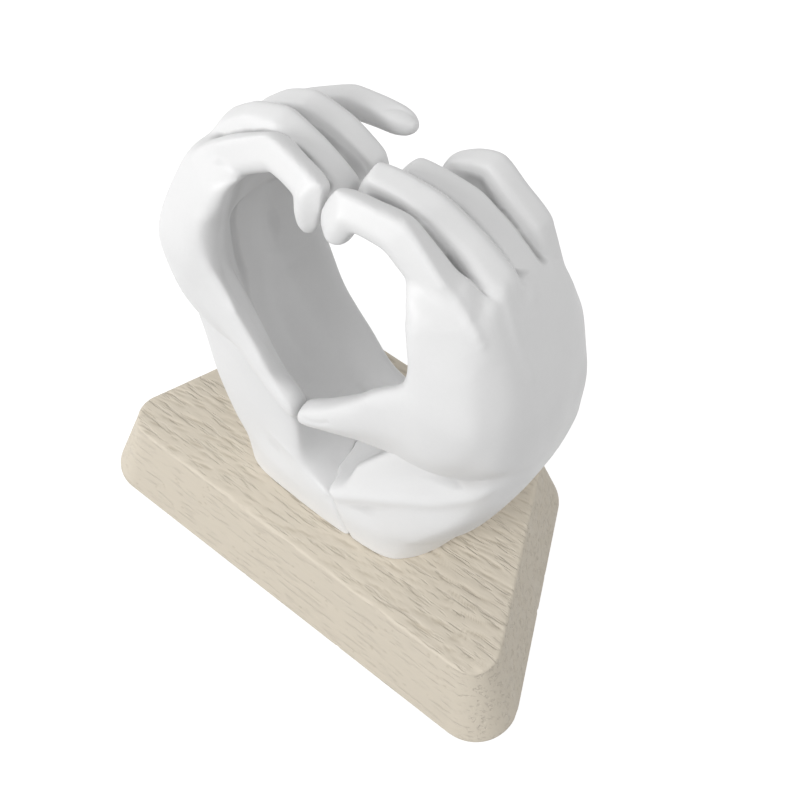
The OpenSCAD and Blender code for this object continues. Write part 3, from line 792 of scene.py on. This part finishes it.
class Finish:
    """A node material that is built up input by input."""

    def __init__(self, name, roughness, metallic=0.0, coat=0.0):
        self.material = bpy.data.materials.new(name)
        self.material.use_nodes = True
        self.tree = self.material.node_tree
        self.shader = self.tree.nodes["Principled BSDF"]
        self.shader.inputs["Roughness"].default_value = roughness
        self.shader.inputs["Metallic"].default_value = metallic
        self.shader.inputs["Coat Weight"].default_value = coat
        self.place = self.tree.nodes.new("ShaderNodeTexCoord").outputs["Object"]
        self.height = None

    def join(self, source, target):
        """Links an output to an input."""
        self.tree.links.new(source, target)

    def node(self, kind, **values):
        """Adds a node and sets its properties."""
        node = self.tree.nodes.new(kind)
        for key, value in values.items():
            setattr(node, key, value)
        return node

    def stretched(self, scale, turn=(0, 0, 0)):
        """Places on the piece, turned and scaled for a pattern."""
        node = self.node("ShaderNodeMapping")
        node.inputs["Scale"].default_value = scale
        node.inputs["Rotation"].default_value = turn
        self.join(self.place, node.inputs["Vector"])
        return node.outputs["Vector"]

    def noise(self, scale, detail=3.0, roughness=0.5, place=None):
        """Cloudy pattern."""
        node = self.node("ShaderNodeTexNoise")
        node.inputs["Scale"].default_value = scale
        node.inputs["Detail"].default_value = detail
        node.inputs["Roughness"].default_value = roughness
        self.join(place or self.place, node.inputs["Vector"])
        return node.outputs["Fac"]

    def spread(self, source, low, high, start=0.3, end=0.7):
        """Maps a pattern, taken from start to end, to a range of values."""
        node = self.node("ShaderNodeMapRange")
        node.inputs["From Min"].default_value = start
        node.inputs["From Max"].default_value = end
        node.inputs["To Min"].default_value = low
        node.inputs["To Max"].default_value = high
        self.join(source, node.inputs["Value"])
        return node.outputs["Result"]

    def colours(self, source, low, high, start=0.3, end=0.7):
        """Maps a pattern, taken from start to end, to a range between two colours."""
        node = self.node("ShaderNodeValToRGB")
        node.color_ramp.elements[0].position = start
        node.color_ramp.elements[0].color = (*low, 1)
        node.color_ramp.elements[1].position = end
        node.color_ramp.elements[1].color = (*high, 1)
        self.join(source, node.inputs["Fac"])
        return node.outputs["Color"]

    def mixed(self, share, first, second):
        """Mixes two colours by a number or a pattern."""
        node = self.node("ShaderNodeMix", data_type="RGBA", blend_type="MIX")
        if isinstance(share, float):
            node.inputs["Factor"].default_value = share
        else:
            self.join(share, node.inputs["Factor"])
        for value, slot in ((first, node.inputs["A"]), (second, node.inputs["B"])):
            if isinstance(value, tuple):
                slot.default_value = (*value, 1)
            else:
                self.join(value, slot)
        return node.outputs["Result"]

    def attribute(self, name):
        """Value that the mesh keeps on its vertices."""
        return self.node("ShaderNodeAttribute", attribute_name=name).outputs["Fac"]

    def bump(self, source, depth):
        """Adds a bump of a depth in millimetres over the ones before it."""
        node = self.node("ShaderNodeBump")
        node.inputs["Distance"].default_value = depth * MM
        node.inputs["Strength"].default_value = 1
        self.join(source, node.inputs["Height"])
        if self.height is not None:
            self.join(self.height, node.inputs["Normal"])
        self.height = node.outputs["Normal"]
        self.join(self.height, self.shader.inputs["Normal"])

    def paint(self, colour):
        """Sets the colour of the surface."""
        self.join(colour, self.shader.inputs["Base Color"])

    def sheen(self, source):
        """Sets how rough the surface is."""
        self.join(source, self.shader.inputs["Roughness"])


def shade(colour, amount):
    """A colour made darker or lighter."""
    return tuple(channel * amount for channel in colour)


def hand_finish(values):
    """Satin white cast resin with a fine orange peel; painted shade darkens its hollows and folds."""
    finish = Finish("satin_white_resin", 0.45, coat=0.03)
    base = tuple(values.hand_colour)
    cloud = finish.colours(finish.noise(38, 4), shade(base, 0.965), base)
    fine = finish.colours(finish.noise(900, 2), shade(base, 0.975), base)
    colour = finish.mixed(0.35, cloud, fine)
    # Painted shade: the fine hollows of the skin are darkened, standing in for the shade that falls in them
    hollow = finish.spread(finish.attribute("hollow"), 0, 0.35, 0.1, 1)
    colour = finish.mixed(hollow, colour, shade(base, 0.72))
    # Painted shade: the wide grooves between the fingers and the deep folds are darkened, where shade falls
    groove = finish.spread(finish.attribute("groove"), 0, values.groove_painted_shade, 0.16, 1)
    finish.paint(finish.mixed(groove, colour, shade(base, 0.38)))
    finish.sheen(finish.spread(finish.noise(120, 5, 0.6), 0.4, 0.54))
    finish.bump(finish.noise(260, 2), 0.05)
    finish.bump(finish.noise(1500, 3), 0.012)
    return finish.material


def plinth_finish(values):
    """Matte cream resin cast from carved wood, with painted shade in its chisel marks and paler on its
    edges.
    """
    finish = Finish("matte_cream_resin", 0.6)
    base = tuple(values.plinth_colour)
    turn = (0, 0, -math.radians(values.grain_turn))
    fibres = finish.stretched((60, 700, 500), turn)
    long_fibres = finish.stretched((18, 260, 200), turn)
    grain = finish.noise(1, 5, 0.6, fibres)
    bands = finish.noise(1, 4, 0.5, long_fibres)
    colour = finish.mixed(0.5, finish.colours(grain, shade(base, 0.93), base),
                          finish.colours(bands, shade(base, 0.94), shade(base, 1.03)))
    # Painted shade: the chisel marks and other hollows are darkened, standing in for the shade that falls
    # in them
    hollow = finish.spread(finish.attribute("hollow"), 0, 0.6, 0.05, 1)
    painted_sunk_shade = tuple(channel * tone for channel, tone in zip(base, (0.7, 0.68, 0.63)))
    colour = finish.mixed(hollow, colour, painted_sunk_shade)
    edge = finish.spread(finish.attribute("hollow"), 0, 0.35, -0.1, -1)
    # Fine carved strokes: the bump sinks them, and the colour darkens them as painted shade in their
    # grooves
    stroke_places = finish.stretched((125, 850, 700), turn)
    strokes = finish.spread(finish.noise(1, 2, 0.45, stroke_places), 0, 1, 0.56, 0.68)
    colour = finish.mixed(finish.spread(strokes, 0, 0.5, 0, 1), colour, shade(base, 0.84))
    finish.paint(finish.mixed(edge, colour, shade(base, 1.06)))
    finish.sheen(finish.spread(bands, 0.52, 0.7))
    finish.bump(finish.spread(strokes, 1, 0, 0, 1), 0.2)
    finish.bump(grain, 0.09)
    finish.bump(finish.noise(1400, 3), 0.02)
    return finish.material


def metal_finish(name, colour, rough, brushed):
    """Machined metal with turning marks and a little tarnish."""
    finish = Finish(name, rough, metallic=1.0)
    turned = finish.noise(1, 4, 0.6, finish.stretched(brushed))
    finish.paint(finish.mixed(0.5, finish.colours(turned, shade(colour, 0.8), colour),
                              finish.colours(finish.noise(420, 3), shade(colour, 0.86), colour)))
    finish.sheen(finish.spread(turned, rough * 0.75, rough * 1.35))
    finish.bump(turned, 0.02)
    return finish.material


def foam_finish(values):
    """Dark foam sheet with closed cells."""
    finish = Finish("cell_foam", 0.88)
    base = tuple(values.sheet_colour)
    cells = finish.node("ShaderNodeTexVoronoi")
    cells.inputs["Scale"].default_value = 1600
    finish.join(finish.place, cells.inputs["Vector"])
    cell = cells.outputs["Distance"]
    finish.paint(finish.mixed(0.5, finish.colours(cell, shade(base, 0.7), shade(base, 1.3), 0, 0.7),
                              finish.colours(finish.noise(150, 3), shade(base, 0.85), shade(base, 1.1))))
    finish.sheen(finish.spread(finish.noise(600, 3), 0.8, 0.95))
    finish.bump(cell, 0.12)
    return finish.material


def seen_ray(tree):
    """1 for what the camera, a gloss or a clear surface shows."""
    path = tree.nodes.new("ShaderNodeLightPath")
    total = path.outputs["Is Camera Ray"]
    for name in ("Is Glossy Ray", "Is Transmission Ray"):
        add = tree.nodes.new("ShaderNodeMath")
        add.operation = "MAXIMUM"
        tree.links.new(total, add.inputs[0])
        tree.links.new(path.outputs[name], add.inputs[1])
        total = add.outputs[0]
    return total


def floor_finish(values):
    """Plain pale floor that shows white to the camera and keeps a soft shadow."""
    material = bpy.data.materials.new("pale_floor")
    material.use_nodes = True
    tree = material.node_tree
    tree.nodes.clear()
    out = tree.nodes.new("ShaderNodeOutputMaterial")
    plain = tree.nodes.new("ShaderNodeBsdfDiffuse")
    plain.inputs["Color"].default_value = (FLOOR_SHADE,) * 3 + (1,)
    shadow = tree.nodes.new("ShaderNodeBsdfDiffuse")
    shadow.inputs["Color"].default_value = (values.shadow_share,) * 3 + (1,)
    glow = tree.nodes.new("ShaderNodeEmission")
    glow.inputs["Strength"].default_value = FLOOR_GLOW - values.shadow_share * values.fill_strength
    seen = tree.nodes.new("ShaderNodeAddShader")
    mix = tree.nodes.new("ShaderNodeMixShader")
    tree.links.new(shadow.outputs[0], seen.inputs[0])
    tree.links.new(glow.outputs[0], seen.inputs[1])
    tree.links.new(seen_ray(tree), mix.inputs[0])
    tree.links.new(plain.outputs[0], mix.inputs[1])
    tree.links.new(seen.outputs[0], mix.inputs[2])
    tree.links.new(mix.outputs[0], out.inputs["Surface"])
    return material


def dressed(piece, nodes, material):
    """Gives a finished piece its material, body, node and slot."""
    piece.data.materials.clear()
    piece.data.materials.append(material)
    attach(piece, BODY)
    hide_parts(*nodes)


def refinished(nodes, material):
    """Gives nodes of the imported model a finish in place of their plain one."""
    for name in nodes:
        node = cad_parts[name]
        if not node.material_slots:
            node.data.materials.append(material)
        for slot in node.material_slots:
            slot.material = material


def area_light(name, toward, size, power):
    """Soft lamp that looks at the ornament from a direction."""
    data = bpy.data.lights.new(name, "AREA")
    data.shape = "DISK"
    data.size = size
    data.energy = power
    lamp = bpy.data.objects.new(name, data)
    bpy.context.scene.collection.objects.link(lamp)
    toward = Vector(toward).normalized()
    lamp.location = AIM + toward * LAMP_AWAY
    lamp.rotation_euler = toward.to_track_quat("Z", "Y").to_euler()


def stand_camera(values):
    """Camera at the height, turn and distance that the plinth's edges give."""
    azimuth = math.radians(values.camera_azimuth)
    elevation = math.radians(values.camera_elevation)
    look = Vector((-math.sin(azimuth) * math.cos(elevation), math.cos(azimuth) * math.cos(elevation),
                   -math.sin(elevation)))
    right = Vector((math.cos(azimuth), math.sin(azimuth), 0))
    up = right.cross(look)
    data = bpy.data.cameras.new("camera")
    data.sensor_width = SENSOR_WIDTH
    data.lens = values.camera_lens
    data.clip_start = 10 * MM
    camera = bpy.data.objects.new("camera", data)
    bpy.context.scene.collection.objects.link(camera)
    turn = Matrix((right, up, -look)).transposed().to_4x4()
    camera.matrix_world = Matrix.Translation(AIM - look * values.camera_distance) @ turn
    bpy.context.scene.camera = camera


class HandSizes(bpy.types.PropertyGroup):
    """Mesh, modelling and colour of the hands"""
    skin_grain: FloatProperty(
        name="Skin grain", description="Size of the faces of a hand", default=0.42 * MM, min=0.3 * MM,
        max=3 * MM, precision=5, unit="LENGTH")
    smoothing: IntProperty(
        name="Smoothing", description="How often a hand is evened out before its details", default=14,
        min=0, max=60)
    evening: IntProperty(
        name="Evening", description="How often the plain parts of a hand are evened out", default=110,
        min=0, max=400)
    hand_colour: FloatVectorProperty(
        name="Hand colour", description="Colour of the hands' satin resin", default=(0.82, 0.82, 0.82),
        size=3, min=0, max=1, subtype="COLOR")
    # Strength of the painted shade between the fingers and in deep folds
    groove_painted_shade: FloatProperty(
        name="Groove shade", description="How much the resin darkens between the fingers and in deep folds",
        default=0.75, min=0, max=1, subtype="FACTOR")


class PlinthSizes(bpy.types.PropertyGroup):
    """Edges, carving and colours of the plinth and its sheet"""
    edge_round: FloatProperty(
        name="Edge rounding", description="Rounding of the plinth's edges in drawn millimetres",
        default=1.2, min=0.3, max=3)
    carving_depth: FloatProperty(
        name="Carving depth", description="Depth of the chisel marks against the usual one", default=1.0,
        min=0, max=2, subtype="FACTOR")
    top_marks: IntProperty(
        name="Top marks", description="Chisel marks on the plinth's top", default=1500, min=0, max=4000)
    side_marks: IntProperty(
        name="Side marks", description="Short dents on the plinth's sides", default=420, min=0, max=3000)
    grain_turn: FloatProperty(
        name="Grain turn", description="Turn of the carved grain from the plinth's length, in degrees",
        default=10, min=-90, max=90)
    plinth_colour: FloatVectorProperty(
        name="Plinth colour", description="Colour of the plinth's matte resin", default=(0.68, 0.615, 0.51),
        size=3, min=0, max=1, subtype="COLOR")
    sheet_colour: FloatVectorProperty(
        name="Sheet colour", description="Colour of the foam sheet under the plinth",
        default=(0.05, 0.05, 0.055), size=3, min=0, max=1, subtype="COLOR")


class StageValues(bpy.types.PropertyGroup):
    """Camera, lamps and shadow"""
    camera_azimuth: FloatProperty(
        name="Camera turn", description="Turn of the camera round the ornament, in degrees", default=37.702)
    camera_elevation: FloatProperty(
        name="Camera height angle", description="Angle of the camera above the floor, in degrees",
        default=59.3)
    camera_distance: FloatProperty(
        name="Camera distance", description="Way from the camera to the plinth's top", default=0.33142,
        unit="LENGTH")
    camera_lens: FloatProperty(
        name="Lens", description="Focal length for a sensor 36 mm wide", default=45, min=10, max=200)
    key_power: FloatProperty(
        name="Key lamp", description="Power of the soft lamp on the left", default=2.2, min=0, unit="POWER")
    front_power: FloatProperty(
        name="Front lamp", description="Power of the soft lamp in front", default=7.5, min=0, unit="POWER")
    side_power: FloatProperty(
        name="Side lamp", description="Power of the lamp on the right", default=2.9, min=0, unit="POWER")
    fill_strength: FloatProperty(
        name="Fill light", description="Strength of the even light from all round", default=0.5, min=0,
        max=2)
    shadow_share: FloatProperty(
        name="Shadow share", description="How strongly the floor shows the ornament's shadow", default=0.35,
        min=0, max=0.8, subtype="FACTOR")


class ORNAMENT_OT_right_hand(bpy.types.Operator):
    """Builds the right hand with its thumb, fingers and wrist"""
    bl_idname = "ornament.right_hand"
    bl_label = "Right hand"

    def execute(self, context):
        values = context.scene.ornament_hands
        piece = cast_hand("right_hand_cast", RIGHT_FINGERS, RIGHT_WEBS, RIGHT_STROKES, values)
        dressed(piece, ["right_hand"], hand_finish(values))
        return {"FINISHED"}


class ORNAMENT_OT_left_hand(bpy.types.Operator):
    """Builds the left hand with its thumb, fingers and wrist"""
    bl_idname = "ornament.left_hand"
    bl_label = "Left hand"

    def execute(self, context):
        values = context.scene.ornament_hands
        piece = cast_hand("left_hand_cast", LEFT_FINGERS, LEFT_WEBS, LEFT_STROKES, values)
        dressed(piece, ["left_hand"], hand_finish(values))
        return {"FINISHED"}


class ORNAMENT_OT_plinth(bpy.types.Operator):
    """Builds the carved plinth with its counterbores and holes"""
    bl_idname = "ornament.plinth"
    bl_label = "Carved plinth"

    def execute(self, context):
        values = context.scene.ornament_plinth
        dressed(carved_plinth("plinth_cast", values), ["plinth"], plinth_finish(values))
        return {"FINISHED"}


class ORNAMENT_OT_fixings(bpy.types.Operator):
    """Finishes the inserts, screws, washers and dowels inside the ornament"""
    bl_idname = "ornament.fixings"
    bl_label = "Fixings"

    def execute(self, context):
        brass = metal_finish("turned_brass", (0.72, 0.5, 0.22), 0.28, (300, 300, 2400))
        steel = metal_finish("zinc_plated_steel", (0.62, 0.62, 0.6), 0.32, (500, 500, 1500))
        ground = metal_finish("ground_steel", (0.55, 0.56, 0.58), 0.22, (150, 150, 3000))
        refinished(["left_threaded_insert", "right_threaded_insert"], brass)
        refinished(["left_fixing_screw", "right_fixing_screw", "left_washer", "right_washer"], steel)
        refinished(["left_locating_dowel", "right_locating_dowel"], ground)
        return {"FINISHED"}


class ORNAMENT_OT_base_sheet(bpy.types.Operator):
    """Finishes the foam sheet under the plinth"""
    bl_idname = "ornament.base_sheet"
    bl_label = "Base sheet"

    def execute(self, context):
        refinished(["base_sheet"], foam_finish(context.scene.ornament_plinth))
        return {"FINISHED"}


class ORNAMENT_OT_stage(bpy.types.Operator):
    """Sets up the floor, the soft light and the camera"""
    bl_idname = "ornament.stage"
    bl_label = "Floor, light and camera"

    def execute(self, context):
        values = context.scene.ornament_stage
        bm = bmesh.new()
        place = Matrix.Translation((0, 0, SHEET_LOW.z))
        bmesh.ops.create_grid(bm, x_segments=1, y_segments=1, size=FLOOR_HALF, matrix=place)
        floor = new_object("floor", bm)
        floor.data.materials.append(floor_finish(values))
        for name, toward, size in LAMPS:
            area_light(name + "_lamp", toward, size, getattr(values, name + "_power"))
        world = bpy.data.worlds.new("studio")
        context.scene.world = world
        world.use_nodes = True
        tree = world.node_tree
        lit = tree.nodes["Background"]
        lit.inputs["Color"].default_value = (1, 1, 1, 1)
        lit.inputs["Strength"].default_value = values.fill_strength
        shown = tree.nodes.new("ShaderNodeBackground")
        shown.inputs["Color"].default_value = (1, 1, 1, 1)
        mix = tree.nodes.new("ShaderNodeMixShader")
        tree.links.new(seen_ray(tree), mix.inputs[0])
        tree.links.new(lit.outputs[0], mix.inputs[1])
        tree.links.new(shown.outputs[0], mix.inputs[2])
        tree.links.new(mix.outputs[0], tree.nodes["World Output"].inputs["Surface"])
        stand_camera(values)
        context.scene.view_settings.view_transform = "Standard"
        return {"FINISHED"}


class ORNAMENT_PT_panel(bpy.types.Panel):
    """Lists the ornament's sizes and the steps that build it"""
    bl_idname = "ORNAMENT_PT_panel"
    bl_label = "Heart hands ornament"
    bl_space_type = "VIEW_3D"
    bl_region_type = "UI"
    bl_category = "Ornament"

    def draw(self, context):
        for group in (context.scene.ornament_hands, context.scene.ornament_plinth,
                      context.scene.ornament_stage):
            box = self.layout.box()
            for key in group.__annotations__:
                box.prop(group, key)
        for step in STEPS:
            self.layout.operator(step.bl_idname)


STEPS = (ORNAMENT_OT_stage, ORNAMENT_OT_right_hand, ORNAMENT_OT_left_hand, ORNAMENT_OT_plinth,
         ORNAMENT_OT_fixings, ORNAMENT_OT_base_sheet)
CLASSES = (HandSizes, PlinthSizes, StageValues) + STEPS + (ORNAMENT_PT_panel,)


def register():
    """Makes the ornament's values and steps known."""
    for kind in CLASSES:
        bpy.utils.register_class(kind)
    bpy.types.Scene.ornament_hands = PointerProperty(type=HandSizes)
    bpy.types.Scene.ornament_plinth = PointerProperty(type=PlinthSizes)
    bpy.types.Scene.ornament_stage = PointerProperty(type=StageValues)


def unregister():
    """Takes away what register adds."""
    del bpy.types.Scene.ornament_stage
    del bpy.types.Scene.ornament_plinth
    del bpy.types.Scene.ornament_hands
    for kind in reversed(CLASSES):
        bpy.utils.unregister_class(kind)


def corners(box):
    """Corners of a box as plain lists of numbers."""
    return [list(corner) for corner in box]


def main():
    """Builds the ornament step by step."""
    register()
    bpy.ops.ornament.stage()
    bpy.ops.ornament.right_hand()
    bpy.ops.ornament.left_hand()
    bpy.ops.ornament.plinth()
    bpy.ops.ornament.fixings()
    bpy.ops.ornament.base_sheet()


if __name__ == "__main__":
    main()
